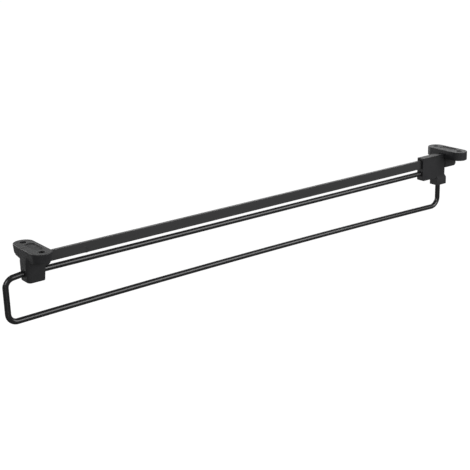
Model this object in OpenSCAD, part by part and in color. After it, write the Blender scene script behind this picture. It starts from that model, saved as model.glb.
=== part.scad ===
// Pull-out clothes rail for the underside of a wardrobe shelf.
// Two moulded brackets hold a flat steel guide bar. A moulded carriage runs on
// the bar and carries a bent wire loop, whose upper run slides through the front
// bracket and whose lower run takes the hangers.
// Millimetres. +Z is up to the shelf, +Y runs from the user to the back of the
// wardrobe, and the origin is midway between the front bracket's screw holes,
// on its mounting face.

/* [Fixing to the shelf] */
// Distance between the front and the rear pair of screw holes, along the rail
hole_span = 481; // [300:1:560]
// Distance between the two screw holes of a bracket, across the rail
screw_spacing = 32; // [30:1:40]
// Diameter of a screw hole
screw_hole_d = 5.5; // [4:0.1:5.8]
// Diameter of the pocket that takes a screw's head, under a flange
screw_head_d = 9; // [8:0.1:9.5]
// Thickness of plastic between a screw's head and the shelf
screw_web_t = 3; // [2:0.1:4]

/* [Flanges] */
// From the centre of a front screw hole to the end of the front flange
front_flange_end = 7.6; // [6.5:0.1:9]
// From the centre of a rear screw hole to the end of the rear flange
rear_flange_end = 7.9; // [6.5:0.1:9]
// Width of a flange along the rail
flange_w = 17.6; // [17:0.1:20]
// Thickness of the front flange at its ends
front_flange_t = 7.5; // [7:0.1:9]
// Thickness of the rear flange
rear_flange_t = 8.8; // [7:0.1:10]
// How far the front flange's sides lean in between its upper and lower edges
front_flange_draft = 0.6; // [0:0.1:1]
// Radius of a flange's upper edge
flange_edge_r = 0.5; // [0.3:0.1:1.5]
// Radius of a flange's lower edge
flange_foot_r = 0.7; // [0.3:0.1:1.5]
// Length of the sunk panel in a flange's mounting face, across the rail
panel_l = 21; // [12:0.5:22]
// Width of the sunk panel, along the rail
panel_w = 8; // [4:0.5:10]
// Depth of the sunk panel
panel_depth = 0.5; // [0.3:0.1:1.6]
// How far the sunk panel lies behind the line of the screw holes
panel_shift = 1.5; // [0:0.1:2]

/* [Guide bar] */
// Thickness of the flat bar
bar_t = 3; // [2:0.1:4]
// Height of the flat bar
bar_h = 8.9; // [8:0.1:11]
// Depth of the bar's upper edge below the shelf
bar_drop = 5.9; // [5:0.1:7]
// Clearance all round the bar in a bracket's socket
socket_gap = 0.1; // [0.05:0.01:0.2]
// Length of bar in front of the front screw holes
bar_front = 5; // [3:0.1:5.5]
// Length of bar behind the rear screw holes
bar_rear = 6.8; // [4:0.1:7.4]
// From the front screw holes to the face of the pull-out stop
stop_at = 48; // [30:1:90]
// Height of the pressed stop on the bar
stop_h = 5.2; // [3:0.1:6]
// Length of the pressed stop's ramp, along the bar
stop_l = 3; // [2:0.1:6]
// How far the stop stands out of the bar's side
stop_rise = 0.9; // [0.7:0.05:1.1]

/* [Bar pins] */
// Diameter of the pins that lock the bar in its brackets
pin_d = 2.5; // [2:0.1:3]
// Height of the pins above the bar's lower edge
pin_h = 2.3; // [2:0.1:5]
// Distance of the front pin behind the front screw holes
front_pin_y = 0.5; // [-1:0.1:1.5]
// Distance of the rear pin behind the rear screw holes
rear_pin_y = 2.5; // [0:0.1:3]

/* [Front bracket] */
// Width of the guide block under the front flange, across the rail
block_w = 15.5; // [12:0.1:17]
// Front of the guide block's round nose, in front of the screw holes
block_front = 9.4; // [8.7:0.1:10.5]
// Back of the guide block at its foot, behind the screw holes
block_back = 5.7; // [4.5:0.1:6]
// How much further back the block reaches at its top
block_lean = 1.8; // [0.2:0.1:2]
// Radius of the block's two upright edges in front
block_corner_r = 3.5; // [2:0.1:6]
// Radius of the block's two upright edges at the back
block_back_r = 1.6; // [0.8:0.1:3]
// Radius of the block's lower edges
block_edge_r = 1; // [0.2:0.1:1.2]
// Plastic under the wire bore
block_floor = 4.5; // [3:0.1:7]
// How far the flange's underside falls from its ends to the block
flange_fall = 2.6; // [0.8:0.1:4]
// Step between the flange's ends and its falling underside
taper_step = 1.4; // [1:0.1:2]
// Step between the flange's long sides and its falling underside
taper_inset = 1.2; // [0.7:0.1:1.6]
// Depth in the flange at which the block's front starts
block_top = 3; // [2:0.1:4]
// How far inside the flange's long side the block's front starts
block_inset = 0.6; // [0.5:0.1:1]
// Width of the bar socket that stands out behind the block
sleeve_w = 6; // [5:0.1:9]
// Length of the bar socket behind the block
sleeve_l = 7.6; // [6:0.1:14]
// Plastic under the bar in the socket, at the block
sleeve_floor = 2.2; // [1:0.1:2.3]
// Plastic under the bar at the socket's mouth
sleeve_lip = 0.4; // [0.3:0.1:2]
// Length over which the socket's underside rises to its mouth
sleeve_rise_l = 2.5; // [1:0.1:4]
// Radius of the web between the block and the socket
web_r = 2; // [1:0.1:3]
// Radial clearance of the sliding wire in the front bracket
wire_gap = 0.09; // [0.05:0.01:0.1]

/* [Rear bracket] */
// Width of the socket block under the rear flange, across the rail
socket_w = 9; // [8:0.1:12]
// Plastic under the bar in the rear socket
socket_floor = 3.5; // [2:0.1:4]
// Front of the socket block, in front of the rear screw holes
socket_front = 7.3; // [6:0.1:8]
// Radius of the socket block's lower back edge
socket_edge_r = 2.8; // [1:0.1:4]

/* [Wire loop] */
// Diameter of the wire
wire_d = 5; // [4:0.1:6]
// Space between the guide bar and the upper run of the wire
wire_space = 2.75; // [1.8:0.05:5]
// Distance between the centre lines of the upper and lower runs, at the front
loop_h = 37.9; // [34:0.1:60]
// How far the loop's front leg stands in front of the front screw holes
loop_reach = 25.8; // [21:0.1:60]
// Radius of the two front bends, on the wire's centre line
bend_r = 7.6; // [6:0.1:10]
// Radius of the bend at the foot of the rear leg
rear_bend_r = 9.2; // [6:0.1:11]
// How far the upper run slopes down in front of the bracket, in degrees
nose_slope = 6.5; // [4:0.5:14]
// Where that slope starts, in front of the front screw holes
nose_start = 9.8; // [9.4:0.1:12]
// Radius of the easy bend into that slope
nose_r = 12; // [10:1:30]
// How much lower the hanging run is at the back than at the front
hang_fall = 0.9; // [0.3:0.1:3]
// Upward camber of the hanging run at its middle
hang_camber = 2.3; // [1:0.1:4]

/* [Carriage] */
// Length of the carriage's body along the bar
carriage_l = 33; // [28:0.1:50]
// Width of the carriage's body across the bar
carriage_w = 8; // [7.6:0.1:9]
// Clearance all round the bar in the carriage
slide_gap = 0.25; // [0.1:0.01:0.35]
// Plastic over the bar in the carriage
carriage_roof = 2.1; // [1.2:0.1:2.5]
// Plastic under the upper wire in the carriage
carriage_floor = 4.9; // [2:0.1:6]
// Radius of the body's lower front edge
carriage_nose_r = 2; // [1:0.1:5]
// Depth of the socket for the end of the upper wire
wire_socket = 12; // [8:0.1:13]
// Gap left in front of the rear bracket when the loop is pushed in
park_gap = 0.3; // [0.1:0.05:1]
// Width of the leg boss across the bar
boss_w = 10.4; // [9:0.1:12]
// Distance of the rear leg in front of the carriage's back
leg_front = 5.6; // [4:0.1:7]
// Length of the leg boss along the bar
boss_l = 13.4; // [10.5:0.1:16]
// Depth of the leg boss below the carriage's body
boss_drop = 8; // [7:0.1:14]
// How far the boss stands out behind the carriage's body
boss_back = 1.3; // [0.5:0.1:3]
// Height over which the boss flares out of the body's foot, above it
boss_rise = 2.2; // [1:0.1:3]
// Depth below the body's foot at which the boss has its full width
boss_flare = 0.6; // [0.5:0.1:3]
// Plastic between the guide bar and the top of the leg's socket
leg_web = 2.2; // [1.5:0.1:4]
// Diameter of the pin that locks the leg in its boss
leg_pin_d = 2; // [1.5:0.1:2.5]
// Height of the leg pin above the boss's lower face
leg_pin_h = 5; // [3:0.1:7]
// Clearance of a wire end, a pin's end or the bar's end in its socket
end_gap = 0.3; // [0.1:0.05:0.6]
// Plastic left over the hidden end of a blind pin
pin_web = 1.5; // [1:0.1:2]

/* [Hidden] */

$fn = 64;
// How far a cut runs past the face that it opens
over = 1;
// Number of straight stretches in the hanging run, an odd number
hang_steps = 9;
// How far a stretch laps into its neighbours, and how much thinner it is there
lap_l = 0.1;
lap_r = 0.03;
// How far the web's hollow runs into the block, so that they meet at an angle
web_sink = 0.4;
// How far the flange's falling underside reaches up into the flange
taper_lap = 1;
// Thickness of the block's outline where its slopes change, and how far that is
// under the end of the flange's falling underside
block_slice = 0.1;
block_turn = 0.6;

front_flange_l = screw_spacing + 2 * front_flange_end;
bar_top = -bar_drop;
bar_foot = bar_top - bar_h;
wire_r = wire_d / 2;
upper_z = bar_foot - wire_space - wire_r;
hang_front_z = upper_z - loop_h;
hang_rear_z = hang_front_z - hang_fall;

// The carriage parks against the socket block, its top in front of the flange
carriage_back = hole_span - socket_front - park_gap;
carriage_top_back = hole_span - flange_w / 2 - park_gap;
carriage_step_z = -rear_flange_t - park_gap;
carriage_front = carriage_back - carriage_l;
carriage_top = bar_top + slide_gap + carriage_roof;
carriage_foot = upper_z - wire_r - carriage_floor;
boss_foot = carriage_foot - boss_drop;
leg_y = carriage_back - leg_front;
leg_top = bar_foot - slide_gap - leg_web - end_gap;

// The upper run ends in an easy bend, a short slope and the upper front bend
nose_bend = [-nose_start, upper_z - nose_r];
nose_end = nose_bend + nose_r * [-sin(nose_slope), cos(nose_slope)];
slope_l = (loop_reach - bend_r + nose_end[0] + bend_r * sin(nose_slope)) / cos(nose_slope);
slope_end = nose_end - slope_l * [cos(nose_slope), sin(nose_slope)];
upper_bend = slope_end + bend_r * [sin(nose_slope), -cos(nose_slope)];

// The hanging run is an arc that rises between the two lower bends
front_bend = [-loop_reach + bend_r, hang_front_z + bend_r];
rear_bend = [leg_y - rear_bend_r, hang_rear_z + rear_bend_r];
hang_from = [front_bend[0], hang_front_z];
hang_to = [rear_bend[0], hang_rear_z];
chord = hang_to - hang_from;
chord_l = norm(chord);
chord_tilt = atan2(chord[1], chord[0]);
camber_r = chord_l * chord_l / (8 * hang_camber) + hang_camber / 2;
camber_half = asin(chord_l / 2 / camber_r);
camber_centre = (hang_from + hang_to) / 2
    + camber_r * cos(camber_half) * [sin(chord_tilt), -cos(chord_tilt)];
front_turn = 90 + chord_tilt + camber_half;
rear_turn = 90 - chord_tilt + camber_half;

block_foot = upper_z - wire_r - block_floor;
taper_foot = -front_flange_t - flange_fall;
pin_z = bar_foot + pin_h;

// Outlines

// Half of a flange's cross-section, from its middle plane outwards
module flange_half_section(t, draft) {
    half_w = flange_w / 2;
    foot_w = half_w - draft;
    top_r = flange_edge_r;
    foot_r = flange_foot_r;
    polygon([[0, -t], [foot_w - foot_r, -t], [foot_w - foot_r, foot_r - t],
             [foot_w, foot_r - t], [half_w, -top_r], [half_w - top_r, -top_r],
             [half_w - top_r, 0], [0, 0]]);
    translate([half_w - top_r, -top_r])
        intersection() {
            circle(top_r);
            square(top_r);
        }
    translate([foot_w - foot_r, foot_r - t])
        intersection() {
            circle(foot_r);
            translate([0, -foot_r])
                square(foot_r);
        }
}

// A slot outline across the rail with round ends
module slot_outline(l, w) {
    square([l - w, w], center = true);
    for (side = [-1, 1])
        translate([side * (l - w) / 2, 0])
            circle(w / 2);
}

// Solids that both brackets share

// A solid with the given outline in the Y-Z plane, centred on the rail
module across(w) {
    translate([-w / 2, 0, 0])
        rotate([90, 0, 90])
            linear_extrude(w)
                children();
}

// A pin across the rail, from its low to its high end
module cross_pin(d, low_x, high_x, y, z) {
    translate([low_x, y, z])
        rotate([0, 90, 0])
            cylinder(d = d, h = high_x - low_x);
}

// The screwed flange, with its edges rounded all the way round
module flange(t, end, draft = 0) {
    straight = screw_spacing + 2 * end - flange_w;
    translate([-straight / 2, 0, 0])
        rotate([90, 0, 90])
            linear_extrude(straight) {
                flange_half_section(t, draft);
                mirror([1, 0])
                    flange_half_section(t, draft);
            }
    for (turn = [0, 180])
        rotate([0, 0, turn])
            translate([straight / 2, 0, 0])
                rotate([0, 0, -90])
                    rotate_extrude(angle = 180)
                        flange_half_section(t, draft);
}

// The screw holes, their head pockets and the sunk panel
module flange_cuts(t) {
    for (side = [-1, 1])
        translate([side * screw_spacing / 2, 0, -t - over]) {
            cylinder(d = screw_hole_d, h = t + 2 * over);
            cylinder(d = screw_head_d, h = t + over - screw_web_t);
        }
    translate([0, panel_shift, -panel_depth])
        linear_extrude(panel_depth + over)
            slot_outline(panel_l, panel_w);
}

// The bar's space in a socket, between two places along the rail
module bar_space(low_y, high_y, gap) {
    translate([-bar_t / 2 - gap, low_y, bar_foot - gap])
        cube([bar_t + 2 * gap, high_y - low_y, bar_h + 2 * gap]);
}

// Front bracket

// The flange's underside falls from its ends towards the block's rounded sides
module flange_taper() {
    half_l = front_flange_l / 2 - taper_step;
    inner_l = block_w / 2 - block_corner_r;
    fall = flange_fall * (half_l - inner_l) / (half_l - block_w / 2);
    low = -front_flange_t - fall;
    intersection() {
        translate([0, 0, low])
            linear_extrude(fall + taper_lap)
                slot_outline(2 * half_l, flange_w - 2 * taper_inset);
        translate([0, flange_w / 2, 0])
            rotate([90, 0, 0])
                linear_extrude(flange_w)
                    polygon([[-half_l, taper_lap - front_flange_t],
                             [half_l, taper_lap - front_flange_t],
                             [half_l, -front_flange_t], [inner_l, low],
                             [-inner_l, low], [-half_l, -front_flange_t]]);
    }
}

// The back of the block at a height
function block_back_at(z) =
    block_back + block_lean * (z - block_foot) / (taper_foot - block_turn - block_foot);

// Place and radius of the block's four upright edges
function block_edges(front, back) = [
    for (side = [-1, 1])
        for (edge = [[block_corner_r - front, block_corner_r],
                     [back - block_back_r, block_back_r]])
            [side * (block_w / 2 - edge[1]), edge[0], edge[1]]
];

// The foot of an upright edge of the block, with its lower edge rounded
module block_edge_foot(r) {
    e = block_edge_r;
    rotate_extrude($fn = 32)
        translate([0, e])
            intersection() {
                translate([r - e, 0])
                    circle(e, $fn = 32);
                translate([0, -e])
                    square([r, 2 * e]);
            }
}

// A thin slice of the block's outline
module block_slice_at(front, back, z) {
    for (edge = block_edges(front, back))
        translate([edge[0], edge[1], z])
            cylinder(r = edge[2], h = block_slice, $fn = 32);
}

// The round-nosed block that the wire slides through, leaning out of the flange
module guide_block() {
    hull() {
        for (edge = block_edges(block_front, block_back))
            translate([edge[0], edge[1], block_foot])
                block_edge_foot(edge[2]);
        block_slice_at(block_front, block_back + block_lean, taper_foot - block_turn);
        block_slice_at(flange_w / 2 - block_inset, block_back + block_lean, -block_top);
    }
}

// The bar's socket behind the block, with a small web under it
module bar_sleeve() {
    back = block_back + sleeve_l;
    foot = bar_foot - sleeve_floor;
    web_centre = [block_back_at(foot - web_r) + web_r - web_sink, foot - web_r];
    across(sleeve_w)
        difference() {
            polygon([[0, foot - web_r], [web_centre[0], foot - web_r],
                     [web_centre[0], foot], [back - sleeve_rise_l, foot],
                     [back, bar_foot - sleeve_lip], [back, bar_top + sleeve_lip],
                     [0, bar_top + sleeve_lip]]);
            translate(web_centre)
                circle(web_r);
        }
}

module front_bracket() {
    color([0.17, 0.17, 0.18])
        difference() {
            union() {
                flange(front_flange_t, front_flange_end, front_flange_draft);
                flange_taper();
                guide_block();
                bar_sleeve();
            }
            flange_cuts(front_flange_t + flange_fall);
            bar_space(-bar_front - end_gap, block_back + sleeve_l + over, socket_gap);
            translate([0, block_back + web_r + over, upper_z])
                rotate([90, 0, 0])
                    cylinder(r = wire_r + wire_gap,
                             h = block_back + web_r + block_front + 2 * over);
            cross_pin(pin_d, -block_w / 2 - over, block_w / 2 - pin_web,
                      front_pin_y, pin_z);
        }
}

// Rear bracket

module rear_bracket() {
    front = -socket_front;
    back = bar_rear + end_gap + pin_web;
    foot = bar_foot - socket_floor;
    color([0.17, 0.17, 0.18])
        translate([0, hole_span, 0])
            difference() {
                union() {
                    flange(rear_flange_t, rear_flange_end);
                    across(socket_w) {
                        translate([front, foot])
                            square([back - front - socket_edge_r, -rear_flange_t - foot]);
                        translate([front, foot + socket_edge_r])
                            square([back - front, -rear_flange_t - foot - socket_edge_r]);
                        translate([back - socket_edge_r, foot + socket_edge_r])
                            circle(socket_edge_r);
                    }
                }
                flange_cuts(rear_flange_t);
                bar_space(front - over, bar_rear + end_gap, socket_gap);
                cross_pin(pin_d, -socket_w / 2 - over, socket_w / 2 + over,
                          rear_pin_y, pin_z);
            }
}

// Guide bar and its pins

// The pressed stop is a ramp up towards the back, which the carriage meets
module pull_out_stop() {
    translate([0, 0, bar_foot])
        linear_extrude(stop_h)
            for (side = [-1, 1])
                polygon([[0, stop_at - stop_l], [0, stop_at],
                         [side * (bar_t / 2 + stop_rise), stop_at],
                         [side * bar_t / 2, stop_at - stop_l]]);
}

module guide_bar() {
    color([0.21, 0.21, 0.22])
        difference() {
            union() {
                bar_space(-bar_front, hole_span + bar_rear, 0);
                pull_out_stop();
            }
            cross_pin(pin_d, -bar_t, bar_t, front_pin_y, pin_z);
            cross_pin(pin_d, -bar_t, bar_t, hole_span + rear_pin_y, pin_z);
        }
}

module front_bar_pin() {
    color([0.3, 0.3, 0.31])
        cross_pin(pin_d, -block_w / 2, block_w / 2 - pin_web - end_gap,
                  front_pin_y, pin_z);
}

module rear_bar_pin() {
    color([0.3, 0.3, 0.31])
        cross_pin(pin_d, -socket_w / 2, socket_w / 2, hole_span + rear_pin_y, pin_z);
}

// Carriage

// The body's side outline, with a round lower front edge and a step at the top
// that clears the rear flange
module carriage_outline() {
    low = [carriage_front, carriage_foot];
    r = carriage_nose_r;
    translate([low[0] + r, low[1]])
        square([carriage_back - low[0] - r, carriage_step_z - low[1]]);
    translate([low[0], low[1] + r])
        square([carriage_top_back - low[0], carriage_top - low[1] - r]);
    translate([low[0] + r, low[1] + r])
        circle(r);
}

// The boss's side outline, which flares back from the body's back face
module boss_outline() {
    back = carriage_back + boss_back;
    polygon([[back - boss_l, boss_foot], [back, boss_foot],
             [back, carriage_foot - boss_flare],
             [carriage_back, carriage_foot + boss_rise],
             [back - boss_l, carriage_foot + boss_rise]]);
}

// The boss's front outline, which flares out of the body's sides
module boss_front_outline() {
    body = carriage_w / 2;
    full = boss_w / 2;
    polygon([[-full, boss_foot], [full, boss_foot],
             [full, carriage_foot - boss_flare], [body, carriage_foot + boss_rise],
             [-body, carriage_foot + boss_rise], [-full, carriage_foot - boss_flare]]);
}

module carriage() {
    color([0.18, 0.18, 0.19])
        difference() {
            union() {
                across(carriage_w)
                    carriage_outline();
                intersection() {
                    across(boss_w)
                        boss_outline();
                    translate([0, carriage_back + boss_back, 0])
                        rotate([90, 0, 0])
                            linear_extrude(boss_l)
                                boss_front_outline();
                }
            }
            bar_space(carriage_front - over, carriage_back + over, slide_gap);
            translate([0, carriage_front + wire_socket, upper_z])
                rotate([90, 0, 0])
                    cylinder(d = wire_d, h = wire_socket + over);
            translate([0, leg_y, boss_foot - over])
                cylinder(d = wire_d, h = leg_top + end_gap - boss_foot + over);
            cross_pin(leg_pin_d, -boss_w / 2 - over, boss_w / 2 - pin_web,
                      leg_y, boss_foot + leg_pin_h);
        }
}

module leg_pin() {
    color([0.3, 0.3, 0.31])
        cross_pin(leg_pin_d, -boss_w / 2, boss_w / 2 - pin_web - end_gap,
                  leg_y, boss_foot + leg_pin_h);
}

// Wire loop

// A straight piece of wire between two points of the Y-Z plane
module wire_run(from, to, r = wire_r) {
    along = to - from;
    translate([0, from[0], from[1]])
        rotate([atan2(along[1], along[0]) - 90, 0, 0])
            cylinder(r = r, h = norm(along));
}

// A straight piece that is a hair thinner and laps into both its neighbours,
// so that it joins them where they meet at a small angle
module lapped_run(from, to) {
    lap = lap_l * (to - from) / norm(to - from);
    wire_run(from - lap, to + lap, wire_r - lap_r);
}

// A bend in the Y-Z plane about a centre, from a start angle through a sweep
module wire_bend(centre, r, start, sweep) {
    translate([0, centre[0], centre[1]])
        rotate([90, 0, 90])
            rotate([0, 0, start])
                rotate_extrude(angle = sweep, $fn = 96)
                    translate([r, 0])
                        circle(r = wire_r, $fn = 48);
}

// A point on the hanging run's centre line, at a turn from the arc's middle
function hang_point(turn) =
    camber_centre + camber_r * [sin(turn - chord_tilt), cos(turn - chord_tilt)];

// The cambered run is short straight stretches, every other one lapped
module hanging_run() {
    step = 2 * camber_half / hang_steps;
    for (i = [0:hang_steps - 1]) {
        from = hang_point(i * step - camber_half);
        to = hang_point((i + 1) * step - camber_half);
        if (i % 2 == 0)
            lapped_run(from, to);
        else
            wire_run(from, to);
    }
}

module wire_loop() {
    upper_end = [carriage_front + wire_socket - end_gap, upper_z];
    color([0.14, 0.14, 0.15])
        difference() {
            union() {
                wire_run([-nose_start, upper_z], upper_end);
                wire_bend(nose_bend, nose_r, 90, nose_slope);
                lapped_run(nose_end, slope_end);
                wire_bend(upper_bend, bend_r, 180, nose_slope - 90);
                wire_run([-loop_reach, upper_bend[1]], [-loop_reach, front_bend[1]]);
                wire_bend(front_bend, bend_r, 180, front_turn);
                hanging_run();
                wire_bend(rear_bend, rear_bend_r, 0, -rear_turn);
                wire_run([leg_y, rear_bend[1]], [leg_y, leg_top]);
            }
            cross_pin(leg_pin_d, -wire_d, wire_d, leg_y, boss_foot + leg_pin_h);
        }
}

front_bracket();
rear_bracket();
guide_bar();
front_bar_pin();
rear_bar_pin();
carriage();
wire_loop();
leg_pin();
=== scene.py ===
import math

import bpy
from mathutils import Matrix, Vector


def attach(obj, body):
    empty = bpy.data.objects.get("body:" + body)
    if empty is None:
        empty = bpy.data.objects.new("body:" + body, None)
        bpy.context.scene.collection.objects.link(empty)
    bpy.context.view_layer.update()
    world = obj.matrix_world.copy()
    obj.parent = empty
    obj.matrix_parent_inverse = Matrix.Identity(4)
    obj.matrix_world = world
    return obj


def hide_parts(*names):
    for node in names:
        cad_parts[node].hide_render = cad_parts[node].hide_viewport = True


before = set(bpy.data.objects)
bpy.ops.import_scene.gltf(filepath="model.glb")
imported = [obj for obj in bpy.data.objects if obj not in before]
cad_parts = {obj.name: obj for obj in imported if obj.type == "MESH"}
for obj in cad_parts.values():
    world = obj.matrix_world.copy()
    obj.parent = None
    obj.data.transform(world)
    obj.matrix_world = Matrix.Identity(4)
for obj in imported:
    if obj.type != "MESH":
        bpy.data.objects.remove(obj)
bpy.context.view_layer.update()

MM = 0.001
FIXED = "fixed_frame"
SLIDING = "pull_out"

# Driving sizes of the wire loop, the same as in the part's source
WIRE_R = 2.5 * MM
BAR_FOOT = -14.8 * MM
WIRE_SPACE = 2.75 * MM
LOOP_H = 37.9 * MM
LOOP_REACH = 25.8 * MM
BEND_R = 7.6 * MM
REAR_BEND_R = 9.2 * MM
NOSE_START = 9.8 * MM
NOSE_R = 12 * MM
NOSE_SLOPE = math.radians(6.5)
HANG_FALL = 0.9 * MM
HANG_CAMBER = 2.3 * MM
RUN_END = 452.1 * MM
LEG_Y = 467.8 * MM
LEG_TOP = -17.55 * MM

# The sunk panel in the top of each flange, the same as in the part's source
HOLE_SPAN = 481 * MM
PANEL_L = 21 * MM
PANEL_W = 8 * MM
PANEL_DEPTH = 0.5 * MM
PANEL_SHIFT = 1.5 * MM

UPPER_Z = BAR_FOOT - WIRE_SPACE - WIRE_R
HANG_FRONT_Z = UPPER_Z - LOOP_H
HANG_REAR_Z = HANG_FRONT_Z - HANG_FALL

# Points round the wire's ring, and steps of its straight upper run and its curves
RING_POINTS = 40
RUN_STEPS = 8
NOSE_STEPS = 4
BEND_STEPS = 20
CAMBER_STEPS = 16
JOIN_WITHIN = 0.001 * MM

# Joining up and rounding of the copies of the solids
MERGE_WITHIN = 0.02 * MM
FLAT_BELOW = math.radians(1)
SHARP_ABOVE = math.radians(40)
EDGE_STEPS = 3
BRACKET_EDGE_R = 0.15 * MM
CARRIAGE_EDGE_R = 0.2 * MM
BAR_EDGE_R = 0.2 * MM
PIN_EDGE_R = 0.2 * MM
SMOOTH_BELOW = math.radians(40)

# Where most of a noise's values lie
NOISE_LOW = 0.3
NOISE_HIGH = 0.7

# Places of the Mix node's sockets when it mixes colours
MIX_FACTOR = 0
MIX_FIRST = 6
MIX_SECOND = 7
MIX_RESULT = 2

# Height and size of the floor
FLOOR_Z = -0.75
FLOOR_SIZE = 24


# Helpers for working as by hand

def select_only(piece):
    bpy.ops.object.select_all(action="DESELECT")
    piece.select_set(True)
    bpy.context.view_layer.objects.active = piece


def start_edit(piece):
    select_only(piece)
    bpy.ops.object.mode_set(mode="EDIT")
    bpy.ops.mesh.select_all(action="DESELECT")


def end_edit():
    bpy.ops.object.mode_set(mode="OBJECT")


def settle(piece):
    """Puts the piece's place into its mesh."""
    select_only(piece)
    bpy.ops.object.transform_apply(location=True, rotation=True, scale=True)


def smooth(piece):
    select_only(piece)
    bpy.ops.object.shade_smooth_by_angle(angle=SMOOTH_BELOW)


def paint(piece, material):
    piece.data.materials.clear()
    piece.data.materials.append(material)


# Node helpers for the materials

def new_material(name):
    material = bpy.data.materials.new(name)
    material.use_nodes = True
    tree = material.node_tree
    return material, tree, tree.nodes["Principled BSDF"]


def stretched_coordinates(tree, scale):
    """Object coordinates, scaled along each axis."""
    place = tree.nodes.new("ShaderNodeTexCoord")
    mapping = tree.nodes.new("ShaderNodeMapping")
    mapping.inputs["Scale"].default_value = scale
    tree.links.new(place.outputs["Object"], mapping.inputs["Vector"])
    return mapping.outputs["Vector"]


def noise(tree, scale, detail, stretch=(1, 1, 1)):
    node = tree.nodes.new("ShaderNodeTexNoise")
    node.inputs["Scale"].default_value = scale
    node.inputs["Detail"].default_value = detail
    tree.links.new(stretched_coordinates(tree, stretch), node.inputs["Vector"])
    return node.outputs["Fac"]


def ranged(tree, value, low, high, to_low, to_high):
    """A value between two limits, moved to two others."""
    node = tree.nodes.new("ShaderNodeMapRange")
    node.clamp = True
    node.inputs["From Min"].default_value = low
    node.inputs["From Max"].default_value = high
    node.inputs["To Min"].default_value = to_low
    node.inputs["To Max"].default_value = to_high
    tree.links.new(value, node.inputs["Value"])
    return node.outputs["Result"]


def combined(tree, kind, first, second):
    """Two values put together by one sum, kept between nought and one."""
    node = tree.nodes.new("ShaderNodeMath")
    node.operation = kind
    node.use_clamp = True
    for socket, value in zip(node.inputs, (first, second)):
        if isinstance(value, (int, float)):
            socket.default_value = value
        else:
            tree.links.new(value, socket)
    return node.outputs["Value"]


def blended_colour(tree, factor, low, high):
    node = tree.nodes.new("ShaderNodeMix")
    node.data_type = "RGBA"
    node.inputs[MIX_FIRST].default_value = (*low, 1)
    node.inputs[MIX_SECOND].default_value = (*high, 1)
    tree.links.new(factor, node.inputs[MIX_FACTOR])
    return node.outputs[MIX_RESULT]


# The plastic's edges are painted paler with this edge mask: partly rubbed wear, partly a painted edge
# highlight.
def edge_rub_and_highlight(tree, radius):
    """One on rounded edges and nought on flat faces."""
    bevel = tree.nodes.new("ShaderNodeBevel")
    bevel.samples = 6
    bevel.inputs["Radius"].default_value = radius
    geometry = tree.nodes.new("ShaderNodeNewGeometry")
    dot = tree.nodes.new("ShaderNodeVectorMath")
    dot.operation = "DOT_PRODUCT"
    tree.links.new(bevel.outputs["Normal"], dot.inputs[0])
    tree.links.new(geometry.outputs["True Normal"], dot.inputs[1])
    return ranged(tree, dot.outputs["Value"], low=0.98, high=0.75, to_low=0, to_high=1)


def wear_and_highlight_tone(tree, cloud, cloud_share, wear_and_highlight, wear_and_highlight_share):
    """How pale the surface is: a little with the clouds, and more where it is worn and, on the plastic's
    edges, where a highlight is painted.
    """
    clouded = ranged(tree, cloud, NOISE_LOW, NOISE_HIGH, 0, cloud_share)
    wear_and_highlight_part = combined(tree, "MULTIPLY", wear_and_highlight, wear_and_highlight_share)
    return combined(tree, "ADD", clouded, wear_and_highlight_part)


def worn_roughness(tree, cloud, dull, shiny, wear_and_highlight, polish):
    """How rough the surface is: dull to shiny with the clouds, and less where it is worn."""
    clouded = ranged(tree, cloud, NOISE_LOW, NOISE_HIGH, dull, shiny)
    wear_and_highlight_part = combined(tree, "MULTIPLY", wear_and_highlight, polish)
    return combined(tree, "SUBTRACT", clouded, wear_and_highlight_part)


def bump(tree, shader, height, strength, distance, below=None):
    """A fine relief, laid over another one if there is one below."""
    node = tree.nodes.new("ShaderNodeBump")
    node.inputs["Strength"].default_value = strength
    node.inputs["Distance"].default_value = distance
    tree.links.new(height, node.inputs["Height"])
    if below is not None:
        tree.links.new(below, node.inputs["Normal"])
    tree.links.new(node.outputs["Normal"], shader.inputs["Normal"])
    return node.outputs["Normal"]


# Materials

def moulded_plastic(name, low, high, smoothest):
    """Dark glass-filled plastic with a fine eroded grain, rubbed a little on its edges, which are
    painted paler: partly rubbed wear, partly a painted highlight.
    """
    material, tree, shader = new_material(name)
    dullest = smoothest + 0.06
    cloud = noise(tree, scale=90, detail=4)
    grain = noise(tree, scale=2600, detail=2)
    swirl = noise(tree, scale=350, detail=5, stretch=(1, 0.35, 1))
    edges = edge_rub_and_highlight(tree, radius=0.5 * MM)
    patches = ranged(tree, swirl, low=0.35, high=0.6, to_low=0.2, to_high=1)
    # Paler edges: partly rubbed wear, partly a painted highlight along the edges.
    rub_and_highlight = combined(tree, "MULTIPLY", edges, patches)
    tone = wear_and_highlight_tone(tree, cloud, cloud_share=0.35, wear_and_highlight=rub_and_highlight, wear_and_highlight_share=0.6)
    colour = blended_colour(tree, tone, low, high)
    tree.links.new(colour, shader.inputs["Base Color"])
    rough = worn_roughness(tree, swirl, dull=dullest, shiny=smoothest, wear_and_highlight=rub_and_highlight, polish=0.08)
    tree.links.new(rough, shader.inputs["Roughness"])
    shader.inputs["Specular IOR Level"].default_value = 0.4
    under = bump(tree, shader, swirl, strength=0.12, distance=0.03 * MM)
    bump(tree, shader, grain, strength=0.2, distance=0.02 * MM, below=under)
    return material


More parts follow.
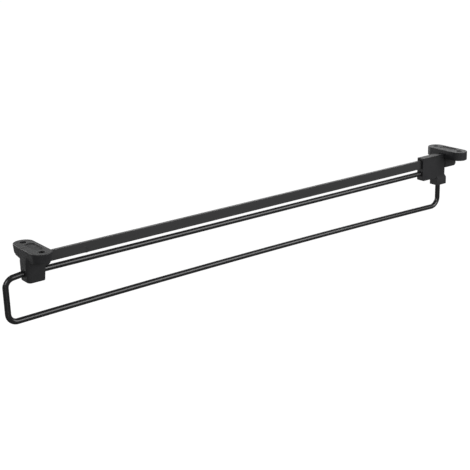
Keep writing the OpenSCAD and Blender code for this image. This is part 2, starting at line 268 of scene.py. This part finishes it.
def coated_bar_steel():
    """Satin powder coat on flat steel, with fine lines where the carriage runs."""
    material, tree, shader = new_material("coated_bar")
    peel = noise(tree, scale=1500, detail=2)
    cloud = noise(tree, scale=60, detail=3, stretch=(1, 0.3, 1))
    lines = noise(tree, scale=900, detail=2, stretch=(1, 0.006, 1))
    run = ranged(tree, lines, low=0.56, high=0.68, to_low=0, to_high=1)
    tone = wear_and_highlight_tone(tree, cloud, cloud_share=0.4, wear_and_highlight=run, wear_and_highlight_share=0.35)
    colour = blended_colour(tree, tone, low=(0.022, 0.022, 0.0225), high=(0.044, 0.044, 0.045))
    tree.links.new(colour, shader.inputs["Base Color"])
    rough = worn_roughness(tree, cloud, dull=0.42, shiny=0.34, wear_and_highlight=run, polish=0.08)
    tree.links.new(rough, shader.inputs["Roughness"])
    shader.inputs["Specular IOR Level"].default_value = 0.5
    bump(tree, shader, peel, strength=0.3, distance=0.02 * MM)
    return material


def coated_wire_steel():
    """Semi-gloss coat on drawn wire, with faint lines along it."""
    material, tree, shader = new_material("coated_wire")
    peel = noise(tree, scale=1100, detail=2)
    cloud = noise(tree, scale=70, detail=3)
    lines = noise(tree, scale=1500, detail=2, stretch=(1, 0.01, 1))
    run = ranged(tree, lines, low=0.58, high=0.7, to_low=0, to_high=1)
    tone = wear_and_highlight_tone(tree, cloud, cloud_share=0.4, wear_and_highlight=run, wear_and_highlight_share=0.3)
    colour = blended_colour(tree, tone, low=(0.006, 0.006, 0.0064), high=(0.017, 0.017, 0.0175))
    tree.links.new(colour, shader.inputs["Base Color"])
    rough = worn_roughness(tree, cloud, dull=0.27, shiny=0.21, wear_and_highlight=run, polish=0.05)
    tree.links.new(rough, shader.inputs["Roughness"])
    shader.inputs["Specular IOR Level"].default_value = 0.5
    bump(tree, shader, peel, strength=0.12, distance=0.02 * MM)
    return material


def blackened_pin_steel():
    """Blackened steel pin with turned end faces."""
    material, tree, shader = new_material("dark_pin")
    turned = noise(tree, scale=1800, detail=3, stretch=(0.2, 1, 1))
    colour = blended_colour(tree, turned, low=(0.03, 0.03, 0.032), high=(0.075, 0.074, 0.072))
    tree.links.new(colour, shader.inputs["Base Color"])
    rough = ranged(tree, turned, NOISE_LOW, NOISE_HIGH, to_low=0.45, to_high=0.3)
    tree.links.new(rough, shader.inputs["Roughness"])
    shader.inputs["Metallic"].default_value = 0.8
    bump(tree, shader, turned, strength=0.2, distance=0.02 * MM)
    return material


def pale_floor():
    """A white floor lit evenly from inside, like the milky glass of a light table."""
    material, tree, shader = new_material("pale_floor")
    speck = noise(tree, scale=40, detail=2)
    colour = blended_colour(tree, speck, low=(0.23, 0.23, 0.23), high=(0.25, 0.25, 0.25))
    tree.links.new(colour, shader.inputs["Base Color"])
    shader.inputs["Roughness"].default_value = 0.9
    shader.inputs["Specular IOR Level"].default_value = 0.1
    shader.inputs["Emission Color"].default_value = (1, 1, 1, 1)
    shader.inputs["Emission Strength"].default_value = 0.97
    return material


# Pieces

def finished_copy(node, body, material, edge_r):
    """A copy of a CAD solid, joined up and with its sharp edges rounded."""
    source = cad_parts[node]
    piece = source.copy()
    piece.data = source.data.copy()
    piece.name = node + "_finished"
    piece.parent = None
    bpy.context.collection.objects.link(piece)
    start_edit(piece)
    bpy.ops.mesh.select_all(action="SELECT")
    bpy.ops.mesh.remove_doubles(threshold=MERGE_WITHIN)
    bpy.ops.mesh.dissolve_limited(angle_limit=FLAT_BELOW)
    end_edit()
    rounding = piece.modifiers.new("edges", "BEVEL")
    rounding.limit_method = "ANGLE"
    rounding.angle_limit = SHARP_ABOVE
    rounding.width = edge_r
    rounding.segments = EDGE_STEPS
    rounding.use_clamp_overlap = False
    select_only(piece)
    bpy.ops.object.modifier_apply(modifier=rounding.name)
    smooth(piece)
    flattening = piece.modifiers.new("flat faces", "WEIGHTED_NORMAL")
    flattening.mode = "FACE_AREA"
    flattening.keep_sharp = True
    bpy.ops.object.modifier_apply(modifier=flattening.name)
    paint(piece, material)
    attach(piece, body)
    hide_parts(node)
    return piece


def paint_sunk_panel(piece, middle, material):
    """Gives a flange's sunk panel a rougher skin of its own, also a little darker in colour as painted
    shade in the recess.
    """
    piece.data.materials.append(material)
    panel_slot = len(piece.data.materials) - 1
    shallowest = 0.1 * PANEL_DEPTH
    deepest = 1.1 * PANEL_DEPTH
    for face in piece.data.polygons:
        x, y, z = face.center
        within = abs(x) < PANEL_L / 2 and abs(y - middle) < PANEL_W / 2
        if within and shallowest < -z < deepest:
            face.material_index = panel_slot


def extrude_to(offset):
    bpy.ops.mesh.extrude_region_move(TRANSFORM_OT_translate={"value": offset})


def spin_about(y, z, degrees, steps):
    """Sweeps the selected ring about an axis across the rail."""
    bpy.ops.mesh.spin(steps=steps, dupli=False, angle=-math.radians(degrees), use_auto_merge=False,
                      center=(0, y, z), axis=(1, 0, 0))


def wire_loop(material):
    """One wire swept from its upper end in the carriage, round the loop, to its leg's end."""
    nose_centre = Vector((-NOSE_START, UPPER_Z - NOSE_R))
    nose_end = nose_centre + NOSE_R * Vector((-math.sin(NOSE_SLOPE), math.cos(NOSE_SLOPE)))
    down = Vector((math.cos(NOSE_SLOPE), math.sin(NOSE_SLOPE)))
    slope_l = (LOOP_REACH - BEND_R + nose_end.x + BEND_R * down.y) / down.x
    slope_end = nose_end - slope_l * down
    upper = slope_end + BEND_R * Vector((down.y, -down.x))
    front = Vector((-LOOP_REACH + BEND_R, HANG_FRONT_Z + BEND_R))
    rear = Vector((LEG_Y - REAR_BEND_R, HANG_REAR_Z + REAR_BEND_R))
    chord = Vector((rear.x - front.x, HANG_REAR_Z - HANG_FRONT_Z))
    tilt = math.atan2(chord.y, chord.x)
    camber_r = chord.length ** 2 / (8 * HANG_CAMBER) + HANG_CAMBER / 2
    half = math.asin(chord.length / 2 / camber_r)
    middle = Vector((front.x + rear.x, HANG_FRONT_Z + HANG_REAR_Z)) / 2
    camber_centre = middle + camber_r * math.cos(half) * Vector((math.sin(tilt), -math.cos(tilt)))

    bpy.ops.object.select_all(action="DESELECT")
    bpy.ops.mesh.primitive_circle_add(vertices=RING_POINTS, radius=WIRE_R, fill_type="NOTHING",
                                      location=(0, RUN_END, UPPER_Z), rotation=(math.pi / 2, 0, 0))
    piece = bpy.context.object
    piece.name = "wire_loop_swept"
    settle(piece)
    start_edit(piece)
    bpy.ops.mesh.select_all(action="SELECT")
    for _ in range(RUN_STEPS):
        extrude_to((0, -(RUN_END + NOSE_START) / RUN_STEPS, 0))
    spin_about(nose_centre.x, nose_centre.y, math.degrees(NOSE_SLOPE), NOSE_STEPS)
    extrude_to((0, -slope_l * down.x, -slope_l * down.y))
    spin_about(upper.x, upper.y, 90 - math.degrees(NOSE_SLOPE), BEND_STEPS)
    extrude_to((0, 0, front.y - upper.y))
    spin_about(front.x, front.y, 90 + math.degrees(tilt + half), BEND_STEPS)
    spin_about(camber_centre.x, camber_centre.y, -2 * math.degrees(half), CAMBER_STEPS)
    spin_about(rear.x, rear.y, 90 + math.degrees(half - tilt), BEND_STEPS)
    extrude_to((0, 0, LEG_TOP - rear.y))
    bpy.ops.mesh.select_all(action="SELECT")
    bpy.ops.mesh.remove_doubles(threshold=JOIN_WITHIN)
    bpy.ops.mesh.select_all(action="DESELECT")
    bpy.ops.mesh.select_non_manifold()
    bpy.ops.mesh.edge_face_add()
    bpy.ops.mesh.select_all(action="SELECT")
    bpy.ops.mesh.normals_make_consistent(inside=False)
    end_edit()
    smooth(piece)
    paint(piece, material)
    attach(piece, SLIDING)
    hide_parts("wire_loop")


plastic = moulded_plastic("moulded_plastic", low=(0.010, 0.010, 0.0112), high=(0.024, 0.024, 0.0255),
                          smoothest=0.42)
# The sunk panels' plastic: rougher, and a little darker in colour as painted shade in the recess.
rough_plastic_painted_shade = moulded_plastic("eroded_plastic_painted_shade", low=(0.009, 0.009, 0.010), high=(0.021, 0.021, 0.022),
                                smoothest=0.5)
bar_coat = coated_bar_steel()
wire_coat = coated_wire_steel()
pin_steel = blackened_pin_steel()

front_bracket = finished_copy("front_bracket", FIXED, plastic, BRACKET_EDGE_R)
rear_bracket = finished_copy("rear_bracket", FIXED, plastic, BRACKET_EDGE_R)
paint_sunk_panel(front_bracket, PANEL_SHIFT, rough_plastic_painted_shade)
paint_sunk_panel(rear_bracket, HOLE_SPAN + PANEL_SHIFT, rough_plastic_painted_shade)
finished_copy("carriage", SLIDING, plastic, CARRIAGE_EDGE_R)
finished_copy("guide_bar", FIXED, bar_coat, BAR_EDGE_R)
finished_copy("front_bar_pin", FIXED, pin_steel, PIN_EDGE_R)
finished_copy("rear_bar_pin", FIXED, pin_steel, PIN_EDGE_R)
finished_copy("leg_pin", SLIDING, pin_steel, PIN_EDGE_R)
wire_loop(wire_coat)


# Floor, lights and camera

def floor():
    bpy.ops.object.select_all(action="DESELECT")
    bpy.ops.mesh.primitive_plane_add(size=FLOOR_SIZE, location=(0, 0, FLOOR_Z))
    piece = bpy.context.object
    piece.name = "floor"
    settle(piece)
    paint(piece, pale_floor())
    piece.visible_diffuse = False
    piece.visible_glossy = False


def soft_box(name, place, aim, width, height, power):
    light = bpy.data.lights.new(name, "AREA")
    light.shape = "RECTANGLE"
    light.size = width
    light.size_y = height
    light.energy = power
    lamp = bpy.data.objects.new(name, light)
    lamp.location = place
    lamp.rotation_euler = (Vector(aim) - Vector(place)).to_track_quat("-Z", "Y").to_euler()
    lamp.visible_camera = False
    bpy.context.collection.objects.link(lamp)


def white_surroundings(strength, seen):
    world = bpy.data.worlds.new("studio")
    bpy.context.scene.world = world
    world.use_nodes = True
    tree = world.node_tree
    ground = tree.nodes["Background"]
    ground.inputs["Color"].default_value = (1, 1, 1, 1)
    ground.inputs["Strength"].default_value = strength
    backdrop = tree.nodes.new("ShaderNodeBackground")
    backdrop.inputs["Color"].default_value = (1, 1, 1, 1)
    backdrop.inputs["Strength"].default_value = seen
    path = tree.nodes.new("ShaderNodeLightPath")
    choice = tree.nodes.new("ShaderNodeMixShader")
    tree.links.new(path.outputs["Is Camera Ray"], choice.inputs[0])
    tree.links.new(ground.outputs["Background"], choice.inputs[1])
    tree.links.new(backdrop.outputs["Background"], choice.inputs[2])
    tree.links.new(choice.outputs["Shader"], tree.nodes["World Output"].inputs["Surface"])


def camera():
    """The photograph's viewpoint, fitted to the four screw holes and the long straight edges."""
    stand = (0.727662, -0.346435, 0.262034)
    turn = math.radians(53.101)
    lift = math.radians(18.008)
    roll = math.radians(-1.616)
    ahead = Vector((-math.sin(turn) * math.cos(lift), math.cos(turn) * math.cos(lift), -math.sin(lift)))
    level = Vector((math.cos(turn), math.sin(turn), 0))
    upright = level.cross(ahead)
    right = math.cos(roll) * level + math.sin(roll) * upright
    up = math.cos(roll) * upright - math.sin(roll) * level
    data = bpy.data.cameras.new("camera")
    data.lens = 80.98
    data.sensor_width = 36
    data.clip_start = 0.05
    data.clip_end = 60
    view = bpy.data.objects.new("camera", data)
    frame_axes = Matrix((right, up, -ahead)).transposed()
    view.matrix_world = Matrix.Translation(stand) @ frame_axes.to_4x4()
    bpy.context.collection.objects.link(view)
    bpy.context.scene.camera = view


floor()
white_surroundings(strength=0.22, seen=1.05)
soft_box("right_light", place=(1.0, 0.8, 0.45), aim=(0, 0.25, -0.02), width=1.0, height=0.75, power=12)
soft_box("back_left_light", place=(-1.1, 1.35, 0.45), aim=(0, 0.35, 0), width=1.6, height=0.5, power=4.4)
soft_box("left_light", place=(-1.5, -0.1, 0.15), aim=(0, 0.1, -0.01), width=0.9, height=0.9, power=14)
soft_box("front_light", place=(0.9, -1.3, 0.8), aim=(0, 0.1, -0.02), width=1.2, height=0.9, power=14)
soft_box("low_light", place=(1.0, -0.33, -0.34), aim=(0, 0.1, -0.04), width=0.15, height=0.5, power=0.3)
camera()

scene = bpy.context.scene
scene.view_settings.view_transform = "Standard"
scene.view_settings.look = "None"
